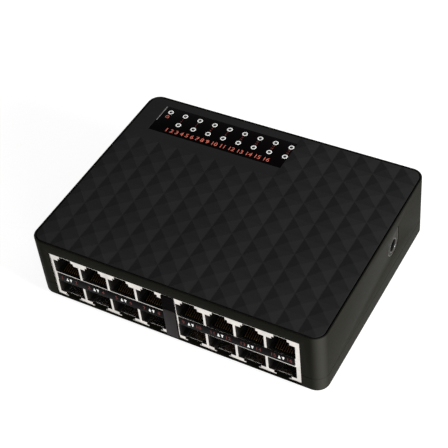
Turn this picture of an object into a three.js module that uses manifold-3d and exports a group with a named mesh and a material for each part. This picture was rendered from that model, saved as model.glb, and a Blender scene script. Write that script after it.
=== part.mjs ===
// Desktop network switch with sixteen stacked RJ45 ports, in millimetres.
// +X runs along the port face, +Y from the port face to the back, +Z up.
// The origin is the centre of the footprint, at the level the feet stand on.
import * as THREE from "three";
import { mergeVertices } from "three/addons/utils/BufferGeometryUtils.js";
import Module from "manifold-3d";

const wasm = await Module();
wasm.setup();

// ---------- driving dimensions ----------
// Heights are counted from the underside of the case, unless a name says otherwise.

const CASE = { width: 138.5, depth: 105.4, height: 33.5, corner: 5.8, wall: 2.2 };
const FRONT = -CASE.depth / 2;
const RIGHT = CASE.width / 2;
const GAP = 0.3;
const CORNER_STEPS = 6;

const TRAY = { floor: 2, sill: 1, rim: 7.8, lipHeight: 1.5, lipThickness: 0.9 };
const SEAM = 0.25;
const FRAME = { top: 32.9, lip: 0.7, ledge: 31.3 };

const FOOT = { radius: 5, height: 1.6, x: 52, y: 41 };
const BOSS = { radius: 4.3, bore: 1.8, headBore: 3.2, headDepth: 3, x: 61, frontY: -20, backY: 44 };
const SCREW = { head: 2.7, shank: 1.45, headBottom: 1, headTop: 2.7, tip: 31.9 };
const KEYHOLE = { x: 40, y: 6, headRadius: 4, slotWidth: 4, slotRun: 7 };
const VENT = { count: 13, pitch: 4, width: 1.8, length: 16, y: 32 };

const COVER = { inset: 1.25, underside: 31.4, valley: 32.9, skirt: 1.2, skirtBottom: 29.3 };
const RELIEF = { columns: 14, rows: 11, cellX: 9.77, cellY: 9.51, centreX: -0.35, centreY: -0.4 };
const RELIEF_RISE = 0.6;
const RELIEF_SUNK = 0.02;
const PLAIN = { columns: 8, rows: 3 };
const LABEL = { left: -59.05, right: 9.65, front: 29.75, back: 47.2, recess: 0.4, thickness: 0.25 };
const WINDOW = { firstX: -54.95, pitch: 7.9, upperY: 43.95, lowerY: 37.3, count: 9, radius: 0.9 };
const GUIDE = { bottom: 30.1, top: 30.8, post: 0.6, postTop: 32.4, margin: 1.6 };

const BOARD = { halfWidth: 65, front: -48.6, back: 49.3, bottom: 27.3, thickness: 1.6 };

const PORT = { pitch: 13.97, columns: 4, halfWidth: 6.1, shoulder: 7.4, step: 8.75, notch: 10.2 };
const STEP_HALF_WIDTH = 4;
const NOTCH_HALF_WIDTH = 2.95;
const MID_BAND = { centre: 13.75, half: 2.65 };
const BANK = { pitch: 61, shift: -0.9, width: 58.6, bottom: 2.4, top: 27.1, back: -26.8 };
const SHIELD = { sheet: 0.4, setback: 0.6, faceBottom: 1.6, flange: 3.2, earthTab: 0.7, margin: 0.35 };
const CAVITY_DEPTH = 16;
const TROUGH = { halfWidth: 4.6, start: 1.3, length: 11.4, depth: 1.45 };
const COMB = { wires: 8, pitch: 1.02, wire: 0.4, length: 9.5, rise: 17, root: 0.8, rootHeight: 0.5 };
const PORT_LABEL = { bottom: 11.15, top: 15.8, thickness: 0.15, tiltRight: 0.5, riseRight: 0.45 };
const DIVIDER = { centre: -1.4, width: 6, bottom: 1.6, padTop: 18.3, top: 26.4, blade: 0.2, back: 0.4 };

const DC = { y: 17.1, z: 20.7, radius: 5, face: 0.3, length: 14, bore: 3, boreDepth: 9.5 };
const DC_PIN = { radius: 1, recess: 1.4 };
const DC_LEAF = { width: 2, sheet: 0.35, length: 7.5, rise: 8, drop: 3.6 };

const INK_BLACK = 0x0b0a0b;
const CASE_BLACK = 0x23231f;

// ---------- solids ----------

function solid(geometry) {
  const plain = geometry.index ? geometry.toNonIndexed() : geometry.clone();
  plain.deleteAttribute("normal");
  plain.deleteAttribute("uv");
  const merged = mergeVertices(plain, 1e-4);
  const mesh = new wasm.Mesh({
    numProp: 3,
    vertProperties: merged.attributes.position.array,
    triVerts: merged.index.array,
  });
  return new wasm.Manifold(mesh);
}

function geometryOf(manifold) {
  const mesh = manifold.getMesh();
  const geometry = new THREE.BufferGeometry();
  geometry.setAttribute("position", new THREE.BufferAttribute(mesh.vertProperties, 3));
  geometry.setIndex(new THREE.BufferAttribute(mesh.triVerts, 1));
  const flat = geometry.toNonIndexed();
  flat.computeVertexNormals();
  return flat;
}

function cut(base, ...tools) {
  return tools.reduce((rest, tool) => rest.subtract(tool), base);
}

function join(...pieces) {
  return pieces.reduce((whole, piece) => whole.add(piece));
}

function boxGeometry([x0, x1], [y0, y1], [z0, z1]) {
  const box = new THREE.BoxGeometry(x1 - x0, y1 - y0, z1 - z0);
  return box.translate((x0 + x1) / 2, (y0 + y1) / 2, (z0 + z1) / 2);
}

function box(x, y, z) {
  return solid(boxGeometry(x, y, z));
}

function span(centre, width) {
  return [centre - width / 2, centre + width / 2];
}

function rodGeometry(radius, x, y, z0, z1, sides = 16) {
  const rod = new THREE.CylinderGeometry(radius, radius, z1 - z0, sides);
  return rod.rotateX(Math.PI / 2).translate(x, y, (z0 + z1) / 2);
}

function rod(...args) {
  return solid(rodGeometry(...args));
}

function roundedOutline(width, depth, radius) {
  const shape = new THREE.Shape();
  const x = width / 2 - radius;
  const y = depth / 2 - radius;
  const quarter = Math.PI / 2;
  [[x, y, 0], [-x, y, 1], [-x, -y, 2], [x, -y, 3]].forEach(([cx, cy, turn]) => {
    shape.absarc(cx, cy, radius, turn * quarter, (turn + 1) * quarter, false);
  });
  return shape;
}

function upright(shape, z0, z1) {
  const options = { depth: z1 - z0, bevelEnabled: false, curveSegments: CORNER_STEPS };
  return solid(new THREE.ExtrudeGeometry(shape, options).translate(0, 0, z0));
}

// The case outline, moved in by an inset, between two heights.
function casePrism(inset, z0, z1) {
  const { width, depth, corner } = CASE;
  return upright(roundedOutline(width - 2 * inset, depth - 2 * inset, corner - inset), z0, z1);
}

// A shape drawn in X and Z, run along Y.
function alongY(shape, y0, y1) {
  const options = { depth: y1 - y0, bevelEnabled: false, curveSegments: 8 };
  return solid(new THREE.ExtrudeGeometry(shape, options).rotateX(Math.PI / 2).translate(0, y1, 0));
}

// A shape drawn in Y and Z, run along X.
function alongX(shape, x0, x1) {
  const options = { depth: x1 - x0, bevelEnabled: false, curveSegments: 10 };
  const geometry = new THREE.ExtrudeGeometry(shape, options);
  return solid(geometry.rotateX(Math.PI / 2).rotateZ(Math.PI / 2).translate(x0, 0, 0));
}

// ---------- the assembly ----------

const product = new THREE.Group();
const caseGroup = new THREE.Group();
caseGroup.position.z = FOOT.height;
product.add(caseGroup);

function add(name, shape, color, roughness, metalness = 0) {
  const geometry = shape.isBufferGeometry ? shape : geometryOf(shape);
  const material = new THREE.MeshStandardMaterial({ color, roughness, metalness });
  const mesh = new THREE.Mesh(geometry, material);
  mesh.name = name;
  caseGroup.add(mesh);
  return mesh;
}

const corners = [
  ["front_left", -1, -1],
  ["front_right", 1, -1],
  ["back_left", -1, 1],
  ["back_right", 1, 1],
];

const bossPlaces = corners.map(([place, sx, sy]) => ({
  place,
  x: sx * BOSS.x,
  y: sy < 0 ? BOSS.frontY : BOSS.backY,
}));

const banks = [
  { side: "left", x: BANK.shift - BANK.pitch / 2, firstPort: 1 },
  { side: "right", x: BANK.shift + BANK.pitch / 2, firstPort: 9 },
];

const openingLeft = banks[0].x - BANK.width / 2 - GAP;
const openingRight = banks[1].x + BANK.width / 2 + GAP;

// ---------- case ----------

function keyhole(x) {
  const { y, headRadius, slotWidth, slotRun } = KEYHOLE;
  const through = [-1, TRAY.floor + 1];
  const slot = box(span(x, slotWidth), [y, y + slotRun], through);
  const head = rod(headRadius, x, y, ...through);
  const slotEnd = rod(slotWidth / 2, x, y + slotRun, ...through);
  return join(head, slot, slotEnd);
}

function ventSlots() {
  const first = (-(VENT.count - 1) * VENT.pitch) / 2;
  return Array.from({ length: VENT.count }, (_, i) => {
    const x = first + i * VENT.pitch;
    return box(span(x, VENT.width), span(VENT.y, VENT.length), [-1, TRAY.floor + 1]);
  });
}

function baseTray() {
  const { floor, sill, rim, lipHeight, lipThickness } = TRAY;
  const lipInset = CASE.wall - lipThickness;
  const shell = cut(casePrism(0, 0, rim), casePrism(CASE.wall, floor, rim + 1));
  const lip = cut(
    casePrism(lipInset, rim - 1, rim + lipHeight),
    casePrism(CASE.wall, rim - 2, rim + lipHeight + 1),
  );
  const rimTop = rim + lipHeight + 1;
  const portGap = box([openingLeft, openingRight], [FRONT - 1, FRONT + CASE.wall + 0.1], [sill, rimTop]);
  const bosses = bossPlaces.map(({ x, y }) => rod(BOSS.radius, x, y, floor - 1, BOARD.bottom - 0.2));
  const bores = bossPlaces.map(({ x, y }) => rod(BOSS.bore, x, y, -1, BOARD.bottom));
  const headBores = bossPlaces.map(({ x, y }) => rod(BOSS.headBore, x, y, -1, BOSS.headDepth));
  const keyholes = [keyhole(-KEYHOLE.x), keyhole(KEYHOLE.x)];
  const open = cut(join(shell, lip), portGap);
  return cut(join(open, ...bosses), ...bores, ...headBores, ...keyholes, ...ventSlots());
}

// The flat-topped, round-bottomed face of the power jack, larger by a margin.
function powerJackOutline(top, margin) {
  const shape = new THREE.Shape();
  const r = DC.radius + margin;
  shape.moveTo(DC.y + r, top);
  shape.lineTo(DC.y - r, top);
  shape.absarc(DC.y, DC.z, r, Math.PI, 2 * Math.PI, false);
  return shape;
}

function wallFrame() {
  const bottom = TRAY.rim + SEAM;
  const ring = cut(casePrism(0, bottom, FRAME.top), casePrism(CASE.wall, bottom - 1, FRAME.top + 1));
  const coverSeat = casePrism(FRAME.lip, FRAME.ledge, FRAME.top + 1);
  const lipSeat = casePrism(CASE.wall - TRAY.lipThickness - GAP, bottom - 1, TRAY.rim + TRAY.lipHeight + GAP);
  const openingTop = BANK.top + GAP + 0.1;
  const portOpening = box(
    [openingLeft, openingRight],
    [FRONT - 1, FRONT + CASE.wall + 1],
    [bottom - 1, openingTop],
  );
  const jackOutline = powerJackOutline(BANK.top + 2 * GAP, GAP);
  const jackOpening = alongX(jackOutline, RIGHT - CASE.wall - 1, RIGHT + 1);
  return cut(ring, coverSeat, lipSeat, portOpening, jackOpening);
}

function windowPlaces() {
  const columns = Array.from({ length: WINDOW.count }, (_, i) => WINDOW.firstX + i * WINDOW.pitch);
  const upper = columns.map((x) => [x, WINDOW.upperY]);
  const lower = columns.slice(1).map((x) => [x, WINDOW.lowerY]);
  return [...upper, ...lower];
}

// Shallow four-sided pyramids over the whole cover, left plain around the indicator label.
function reliefPyramids() {
  const { cellX, cellY, centreX, centreY } = RELIEF;
  const pyramids = [];
  for (let column = 0; column < RELIEF.columns; column += 1) {
    for (let row = 0; row < RELIEF.rows; row += 1) {
      const plain = column < PLAIN.columns && row >= RELIEF.rows - PLAIN.rows;
      if (plain) continue;
      const pyramid = new THREE.ConeGeometry(Math.SQRT1_2, RELIEF_RISE, 4);
      pyramid.rotateY(Math.PI / 4).rotateX(Math.PI / 2).scale(cellX, cellY, 1);
      const x = (column + 0.5 - RELIEF.columns / 2) * cellX + centreX;
      const y = (row + 0.5 - RELIEF.rows / 2) * cellY + centreY;
      pyramid.translate(x, y, COVER.valley + RELIEF_RISE / 2 - RELIEF_SUNK);
      pyramids.push(solid(pyramid));
    }
  }
  return wasm.Manifold.union(pyramids);
}

function topCover() {
  const { inset, underside, valley, skirt, skirtBottom } = COVER;
  const peak = valley + RELIEF_RISE;
  const plate = casePrism(inset, underside, valley);
  const relief = reliefPyramids().intersect(casePrism(inset, valley - 1, peak + 1));
  const skirtInset = CASE.wall + GAP;
  const ring = cut(
    casePrism(skirtInset, skirtBottom, underside + 0.5),
    casePrism(skirtInset + skirt, skirtBottom - 1, underside + 1),
  );
  const boardTop = BOARD.bottom + BOARD.thickness;
  const bosses = bossPlaces.map(({ x, y }) => rod(3.2, x, y, boardTop + GAP, underside + 0.5));
  const bores = bossPlaces.map(({ x, y }) => rod(SCREW.shank + GAP, x, y, boardTop, SCREW.tip + GAP));
  const recess = box([LABEL.left, LABEL.right], [LABEL.front, LABEL.back], [valley - LABEL.recess, peak]);
  const holes = windowPlaces().map(([x, y]) => rod(WINDOW.radius, x, y, underside - 1, peak, 8));
  return cut(join(plate, relief, ring, ...bosses), ...bores, recess, ...holes);
}

function lightGuide() {
  const { bottom, top, post, postTop, margin } = GUIDE;
  const lastX = WINDOW.firstX + (WINDOW.count - 1) * WINDOW.pitch;
  const web = box(
    [WINDOW.firstX - margin, lastX + margin],
    [WINDOW.lowerY - margin, WINDOW.upperY + margin],
    [bottom, top],
  );
  const posts = windowPlaces().map(([x, y]) => rod(post, x, y, top - 0.2, postTop, 8));
  return join(web, ...posts);
}

function addCase() {
  add("base_tray", baseTray(), CASE_BLACK, 0.55);
  add("wall_frame", wallFrame(), CASE_BLACK, 0.55);
  add("top_cover", topCover(), 0x232323, 0.5);
  add("light_guide", lightGuide(), 0xdfe6e8, 0.15);
  const labelBottom = COVER.valley - LABEL.recess + 0.1;
  const label = boxGeometry(
    [LABEL.left + 0.2, LABEL.right - 0.2],
    [LABEL.front + 0.2, LABEL.back - 0.2],
    [labelBottom, labelBottom + LABEL.thickness],
  );
  add("indicator_label", label, INK_BLACK, 0.2);
}

function addFastenersAndFeet() {
  bossPlaces.forEach(({ place, x, y }) => {
    const head = rod(SCREW.head, x, y, SCREW.headBottom, SCREW.headTop);
    const shank = rod(SCREW.shank, x, y, SCREW.headTop - 0.2, SCREW.tip, 12);
    add(`case_screw_${place}`, join(head, shank), 0x8d8f92, 0.35, 1);
  });
  corners.forEach(([place, sx, sy]) => {
    const foot = rodGeometry(FOOT.radius, sx * FOOT.x, sy * FOOT.y, -FOOT.height, 0, 20);
    add(`rubber_foot_${place}`, foot, 0x161616, 0.9);
  });
}

// ---------- port banks ----------

// One RJ45 opening as seen from the front. side is 1 above the mid band and -1 below it.
function portOutline(x, side, halfWidth) {
  const edge = MID_BAND.centre + side * MID_BAND.half;
  const at = (dx, rise) => new THREE.Vector2(x + dx, edge + side * rise);
  const rightHalf = [
    at(halfWidth, 0),
    at(halfWidth, PORT.shoulder),
    at(STEP_HALF_WIDTH, PORT.shoulder),
    at(STEP_HALF_WIDTH, PORT.step),
    at(NOTCH_HALF_WIDTH, PORT.step),
    at(NOTCH_HALF_WIDTH, PORT.notch),
  ];
  const leftHalf = rightHalf.map((p) => new THREE.Vector2(2 * x - p.x, p.y)).reverse();
  return new THREE.Shape([...rightHalf, ...leftHalf]);
}

function portPlaces(bankX) {
  const first = bankX - ((PORT.columns - 1) * PORT.pitch) / 2;
  const places = [];
  for (let column = 0; column < PORT.columns; column += 1) {
    places.push({ x: first + column * PORT.pitch, side: 1, order: 2 * column });
    places.push({ x: first + column * PORT.pitch, side: -1, order: 2 * column + 1 });
  }
  return places;
}

const shieldFace = FRONT + SHIELD.setback;

function jackShield(bank) {
  const { sheet, faceBottom, flange, earthTab, margin } = SHIELD;
  const outer = span(bank.x, BANK.width);
  const inner = span(bank.x, BANK.width - 2 * sheet);
  const bend = [shieldFace, BANK.back];
  const can = cut(
    box(outer, bend, [BANK.bottom, BANK.top]),
    box(inner, [shieldFace + sheet, BANK.back - sheet], [BANK.bottom + sheet, BANK.top + 1]),
  );
  const face = box(outer, [shieldFace, shieldFace + sheet], [faceBottom, BANK.top]);
  const topFlange = box(outer, [shieldFace, shieldFace + flange], [BANK.top - sheet, BANK.top]);
  const pieces = [can, face, topFlange];
  if (bank.side === "left") {
    const bridge = [outer[1] - 1, banks[1].x - BANK.width / 2 - GAP];
    pieces.push(box(bridge, [shieldFace, shieldFace + sheet], [BANK.top - earthTab, BANK.top]));
  }
  const windows = portPlaces(bank.x).map(({ x, side }) =>
    alongY(portOutline(x, side, PORT.halfWidth + margin), shieldFace - 1, shieldFace + sheet + 0.05),
  );
  return cut(join(...pieces), ...windows);
}

function contactTrough(x, side) {
  const edge = MID_BAND.centre + side * MID_BAND.half;
  const floor = edge - side * TROUGH.depth;
  const height = [Math.min(floor, edge + side), Math.max(floor, edge + side)];
  const start = shieldFace + TROUGH.start;
  return box(span(x, 2 * TROUGH.halfWidth), [start, start + TROUGH.length], height);
}

function jackHousing(bank) {
  const clearance = SHIELD.sheet + 0.1;
  const front = shieldFace + clearance;
  const block = box(
    span(bank.x, BANK.width - 2 * clearance),
    [front, BANK.back - clearance],
    [BANK.bottom + clearance, BANK.top - clearance],
  );
  const cavities = portPlaces(bank.x).map(({ x, side }) =>
    alongY(portOutline(x, side, PORT.halfWidth - 0.1), front - 1, front + CAVITY_DEPTH),
  );
  const troughs = portPlaces(bank.x).map(({ x, side }) => contactTrough(x, side));
  return cut(block, ...cavities, ...troughs);
}

// Eight contact springs on a common root, rising from the trough into the cavity.
function contactComb(x, side) {
  const edge = MID_BAND.centre + side * MID_BAND.half;
  const rootZ = edge - side * (TROUGH.depth - GAP - COMB.rootHeight / 2);
  const rootY = shieldFace + TROUGH.start + GAP + COMB.root / 2;
  const rootWidth = (COMB.wires - 1) * COMB.pitch + COMB.wire;
  const root = box(span(x, rootWidth), span(rootY, COMB.root), span(rootZ, COMB.rootHeight));
  const wires = Array.from({ length: COMB.wires }, (_, i) => {
    const wire = boxGeometry(span(0, COMB.wire), [0, COMB.length], span(0, COMB.wire * 0.9));
    wire.rotateX((side * COMB.rise * Math.PI) / 180);
    wire.translate(x + (i - (COMB.wires - 1) / 2) * COMB.pitch, rootY, rootZ);
    return solid(wire);
  });
  return join(root, ...wires);
}

// A thin blade that hides the gap between the two banks, thicker where it forms a pad.
function portDivider() {
  const width = span(DIVIDER.centre, DIVIDER.width);
  const back = FRONT + DIVIDER.back;
  const blade = box(width, [back - DIVIDER.blade, back], [DIVIDER.bottom, DIVIDER.top]);
  const pad = box(width, [FRONT, back], [DIVIDER.bottom, DIVIDER.padTop]);
  return join(blade, pad);
}

function addPortBanks() {
  banks.forEach((bank) => {
    add(`jack_shield_${bank.side}`, jackShield(bank), 0xd7d2cd, 0.3, 1);
    add(`jack_housing_${bank.side}`, jackHousing(bank), 0x14110f, 0.6);
    const labelWidth = (PORT.columns - 1) * PORT.pitch + 2 * (PORT.halfWidth - 0.2);
    const labelBack = shieldFace - 0.1;
    const strip = boxGeometry(
      span(0, labelWidth),
      [labelBack - PORT_LABEL.thickness, labelBack],
      span(0, PORT_LABEL.top - PORT_LABEL.bottom),
    );
    const stuckAskew = bank.side === "right";
    if (stuckAskew) strip.rotateY((-PORT_LABEL.tiltRight * Math.PI) / 180);
    const rise = stuckAskew ? PORT_LABEL.riseRight : 0;
    strip.translate(bank.x, 0, (PORT_LABEL.top + PORT_LABEL.bottom) / 2 + rise);
    add(`port_label_${bank.side}`, strip, INK_BLACK, 0.35);
    portPlaces(bank.x).forEach(({ x, side, order }) => {
      const number = String(bank.firstPort + order).padStart(2, "0");
      add(`port_contacts_${number}`, contactComb(x, side), 0xc8a24a, 0.3, 1);
    });
  });
  add("port_divider", portDivider(), 0x353032, 0.5);
}

// ---------- circuit board ----------

function board() {
  const top = BOARD.bottom + BOARD.thickness;
  const sheet = box([-BOARD.halfWidth, BOARD.halfWidth], [BOARD.front, BOARD.back], [BOARD.bottom, top]);
  const holes = bossPlaces.map(({ x, y }) => rod(BOSS.bore, x, y, BOARD.bottom - 1, top + 1, 12));
  return cut(sheet, ...holes);
}

// A boxy component that hangs from the underside of the board.
function hanging(x, y, width, depth, height) {
  const top = BOARD.bottom - 0.1;
  return boxGeometry(span(x, width), span(y, depth), [top - height, top]);
}

function addBoard() {
  add("circuit_board", board(), 0x1f5a35, 0.5);
  add("switch_controller_chip", hanging(0, 4, 20, 20, 1.6), 0x17181a, 0.6);
  add("memory_chip", hanging(-20, 8, 5.2, 4, 1.6), 0x17181a, 0.6);
  add("clock_crystal", hanging(18, 6, 4.7, 11.2, 3.6), 0xb9bcc0, 0.25, 1);
  add("voltage_regulator", hanging(25, 30, 6.5, 3.6, 1.6), 0x17181a, 0.6);
  add("power_inductor", hanging(38, 20, 10, 10, 4.8), 0x2c2d2f, 0.7);
  [-43, -15, 13, 41].forEach((x, i) => {
    add(`line_transformer_${i + 1}`, hanging(x, -17, 24, 9.6, 5.8), 0x121212, 0.55);
  });
  [44, 34].forEach((x, i) => {
    const top = BOARD.bottom - 0.1;
    const can = rodGeometry(4, x, 34, top - 11.5, top, 20);
    add(`filter_capacitor_${i + 1}`, can, 0x26304a, 0.4);
  });
}

// ---------- power inlet ----------

function addPowerInlet() {
  const face = RIGHT - DC.face;
  const back = face - DC.length;
  const boreEnd = face - DC.boreDepth;
  const barrel = new THREE.Shape().absarc(DC.y, DC.z, DC.bore, 0, 2 * Math.PI, false);
  const pinHole = new THREE.Shape().absarc(DC.y, DC.z, DC_PIN.radius + GAP, 0, 2 * Math.PI, false);
  const leafSlot = box(
    [boreEnd, face - 1],
    span(DC.y, DC_LEAF.width + 2 * GAP),
    [DC.z - DC_LEAF.drop - 0.7, DC.z - DC.bore + 0.6],
  );
  const housing = cut(
    alongX(powerJackOutline(BANK.top, 0), back, face),
    alongX(barrel, boreEnd, face + 1),
    alongX(pinHole, back - 1, boreEnd + 1),
    leafSlot,
  );
  add("power_jack_housing", housing, 0x1b1a19, 0.5);
  const pinLength = DC.length - DC_PIN.recess;
  const pin = new THREE.CylinderGeometry(DC_PIN.radius, DC_PIN.radius, pinLength, 12);
  pin.rotateZ(Math.PI / 2).translate(back + pinLength / 2, DC.y, DC.z);
  add("power_jack_pin", pin, 0xc9cbce, 0.25, 1);
  const leaf = boxGeometry([0, DC_LEAF.length], span(0, DC_LEAF.width), span(0, DC_LEAF.sheet));
  leaf.rotateY((-DC_LEAF.rise * Math.PI) / 180);
  leaf.translate(boreEnd + GAP + 0.2, DC.y, DC.z - DC_LEAF.drop);
  add("power_jack_spring", leaf, 0xc9a55a, 0.3, 1);
}

addCase();
addFastenersAndFeet();
addPortBanks();
addBoard();
addPowerInlet();

export default product;
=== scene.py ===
import random
from math import cos, hypot, pi, radians, sin

import bmesh
import bpy
from mathutils import Matrix, Vector


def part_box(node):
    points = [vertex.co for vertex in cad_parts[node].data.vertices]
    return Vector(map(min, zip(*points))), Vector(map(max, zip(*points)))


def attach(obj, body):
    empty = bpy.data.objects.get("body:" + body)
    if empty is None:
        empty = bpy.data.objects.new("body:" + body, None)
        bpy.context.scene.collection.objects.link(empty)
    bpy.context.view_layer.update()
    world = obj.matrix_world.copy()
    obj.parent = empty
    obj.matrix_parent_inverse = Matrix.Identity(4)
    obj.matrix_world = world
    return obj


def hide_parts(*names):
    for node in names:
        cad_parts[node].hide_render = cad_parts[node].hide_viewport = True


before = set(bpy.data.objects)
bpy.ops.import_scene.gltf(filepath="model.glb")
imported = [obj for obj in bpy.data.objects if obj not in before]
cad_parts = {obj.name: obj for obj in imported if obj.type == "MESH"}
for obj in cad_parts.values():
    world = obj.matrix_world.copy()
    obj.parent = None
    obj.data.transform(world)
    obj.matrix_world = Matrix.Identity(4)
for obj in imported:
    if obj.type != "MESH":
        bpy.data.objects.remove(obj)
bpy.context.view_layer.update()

MM = 0.001

# ---------- sizes, in millimetres, from the CAD frame ----------


def node_box(name):
    """The lowest and the highest corner of a CAD node."""
    low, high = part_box(name)
    return [v / MM for v in low], [v / MM for v in high]


def centre_of(low, high):
    return [(a + b) / 2 for a, b in zip(low, high)]


WALL_LOW, WALL_HIGH = node_box("wall_frame")
COVER_LOW, COVER_HIGH = node_box("top_cover")
LABEL_LOW, LABEL_HIGH = node_box("indicator_label")
GUIDE_LOW, GUIDE_HIGH = node_box("light_guide")
BOARD_LOW, BOARD_HIGH = node_box("circuit_board")
JACK_LOW, JACK_HIGH = node_box("power_jack_housing")
DIVIDER_LOW, DIVIDER_HIGH = node_box("port_divider")

# The case: its outer planes, the height of its underside, the radius of its upright corners, the
# thickness of its walls, and the heights of the parting line and of the tray's floor.
RIGHT = WALL_HIGH[0]
BACK = WALL_HIGH[1]
FRONT = WALL_LOW[1]
BASE = node_box("base_tray")[0][2]
CORNER = 5.8
CORNER_STEPS = 20
WALL = 2.2
RIM = BASE + 7.8
FLOOR_TOP = BASE + 2.0

BANKS = {}
for bank_side, bank_ports in (("left", range(1, 9)), ("right", range(9, 17))):
    shield_low, shield_high = node_box(f"jack_shield_{bank_side}")
    BANKS[bank_side] = {"low": shield_low, "high": shield_high, "ports": list(bank_ports)}
SHIELD_FACE = BANKS["left"]["low"][1]
BANK_WIDTH = BANKS["right"]["high"][0] - BANKS["right"]["low"][0]
PORT_GAP = (BANKS["left"]["low"][0] - 0.3, BANKS["right"]["high"][0] + 0.3)

# Odd ports are in the upper row and even ones in the lower row, with the number strip between them.
CONTACTS = {n: node_box(f"port_contacts_{n:02d}") for n in range(1, 17)}
PORT_X = {n: centre_of(*box)[0] for n, box in CONTACTS.items()}
MID_LEVEL = (CONTACTS[1][1][2] + CONTACTS[2][0][2]) / 2
MID_HALF = 2.65

# The stepped RJ45 opening: half widths, and heights measured from the side next to the number strip.
PORT_HALF_WIDTH, PORT_STEP_HALF, PORT_NOTCH_HALF = 6.1, 4.0, 2.95
PORT_SHOULDER, PORT_STEP, PORT_NOTCH = 7.4, 8.75, 10.2
WINDOW_MARGIN = 0.35
CAVITY_MARGIN = -0.1
CAVITY_DEPTH = 16
CONTACT_PITCH = 1.02

CASE_CORNERS = ("front_left", "front_right", "back_left", "back_right")
SCREWS = {}
for case_corner in CASE_CORNERS:
    screw_low, screw_high = node_box(f"case_screw_{case_corner}")
    screw_x, screw_y, _ = centre_of(screw_low, screw_high)
    SCREWS[case_corner] = {"axis": (screw_x, screw_y), "bottom": screw_low[2], "tip": screw_high[2]}


# ---------- mesh tools ----------


def new_object(name, verts, faces):
    mesh = bpy.data.meshes.new(name)
    mesh.from_pydata([Vector(v) * MM for v in verts], [], faces)
    obj = link(name, mesh)
    bm = bmesh.new()
    bm.from_mesh(mesh)
    bmesh.ops.recalc_face_normals(bm, faces=bm.faces)
    bm.to_mesh(mesh)
    bm.free()
    return obj


def link(name, mesh):
    obj = bpy.data.objects.new(name, mesh)
    bpy.context.scene.collection.objects.link(obj)
    return obj


def drop(obj):
    bpy.data.objects.remove(obj, do_unlink=True)


def evaluated_mesh(obj):
    depsgraph = bpy.context.evaluated_depsgraph_get()
    return bpy.data.meshes.new_from_object(obj.evaluated_get(depsgraph))


def bake(obj):
    """Replaces the object's mesh by its evaluated one, so that no modifier is left on it."""
    mesh = evaluated_mesh(obj)
    obj.modifiers.clear()
    obj.data = mesh
    return obj


def boolean(obj, tool, operation):
    modifier = obj.modifiers.new("boolean", "BOOLEAN")
    modifier.operation = operation
    modifier.solver = "EXACT"
    modifier.object = tool
    bake(obj)
    drop(tool)
    return obj


def cut(obj, *tools):
    """Takes the tools away from the object, and uses them up."""
    for tool in tools:
        boolean(obj, tool, "DIFFERENCE")
    return obj


def fuse(obj, *tools):
    """Adds the tools to the object, and uses them up."""
    for tool in tools:
        boolean(obj, tool, "UNION")
    return obj


def joined(name, objects):
    """One object made of several, without a boolean."""
    bm = bmesh.new()
    for obj in objects:
        bm.from_mesh(obj.data)
    mesh = bpy.data.meshes.new(name)
    bm.to_mesh(mesh)
    bm.free()
    for obj in objects:
        drop(obj)
    return link(name, mesh)


WELD_DISTANCE = 0.004


def tidy(obj):
    """Welds doubled points and removes the slivers that booleans leave behind."""
    bm = bmesh.new()
    bm.from_mesh(obj.data)
    bmesh.ops.remove_doubles(bm, verts=bm.verts, dist=WELD_DISTANCE * MM)
    bmesh.ops.dissolve_degenerate(bm, edges=bm.edges, dist=WELD_DISTANCE * MM / 4)
    bm.to_mesh(obj.data)
    bm.free()


def bevel(obj, width, segments=2, angle=40):
    """Rounds every edge whose faces meet at more than the angle."""
    tidy(obj)
    modifier = obj.modifiers.new("bevel", "BEVEL")
    modifier.width = width * MM
    modifier.segments = segments
    modifier.limit_method = "ANGLE"
    modifier.angle_limit = radians(angle)
    modifier.harden_normals = False
    return bake(obj)


def shade(obj, angle=32):
    """Smooth shading with sharp edges wherever faces meet at more than the angle."""
    bm = bmesh.new()
    bm.from_mesh(obj.data)
    limit = radians(angle)
    for face in bm.faces:
        face.smooth = True
    for edge in bm.edges:
        edge.smooth = len(edge.link_faces) == 2 and edge.calc_face_angle(0) < limit
    bm.to_mesh(obj.data)
    bm.free()
    return obj


def place(obj, finish, stands_for=(), body="chassis", angle=32):
    """Finishes a piece: its shading and material, the body it rides on and the nodes it replaces."""
    shade(obj, angle)
    obj.data.materials.clear()
    obj.data.materials.append(finish)
    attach(obj, body)
    if stands_for:
        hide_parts(*stands_for)
    return obj


# ---------- shapes ----------


def full_turn(steps):
    return [2 * pi * i / steps for i in range(steps)]


def half_turn(start, steps=10):
    return [start + pi * i / steps for i in range(steps + 1)]


def arc(x, y, radius, angles):
    return [(x + radius * cos(a), y + radius * sin(a)) for a in angles]


def case_loop(inset, z):
    """The rounded outline of the case, moved in by an inset."""
    radius = max(CORNER - inset, 0.2)
    cx = RIGHT - inset - radius
    cy = BACK - inset - radius
    points = []
    for sx, sy, turn in ((1, 1, 0), (-1, 1, 1), (-1, -1, 2), (1, -1, 3)):
        for i in range(CORNER_STEPS + 1):
            a = (turn + i / CORNER_STEPS) * pi / 2
            points.append((sx * cx + radius * cos(a), sy * cy + radius * sin(a), z))
    return points


def loft(name, loops, capped=True):
    """Joins equal loops by quads. Capped ends make a solid, and otherwise the last loop meets the first."""
    count = len(loops[0])
    verts = [v for loop in loops for v in loop]
    faces = []
    spans = len(loops) - 1 if capped else len(loops)
    for k in range(spans):
        a, b = k * count, ((k + 1) % len(loops)) * count
        for i in range(count):
            j = (i + 1) % count
            faces.append((a + i, a + j, b + j, b + i))
    if capped:
        faces.append(tuple(reversed(range(count))))
        faces.append(tuple(range(len(verts) - count, len(verts))))
    return new_object(name, verts, faces)


def case_solid(name, profile, capped=True):
    """A form that follows the case outline, from (inset, height) pairs."""
    return loft(name, [case_loop(inset, z) for inset, z in profile], capped)


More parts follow.
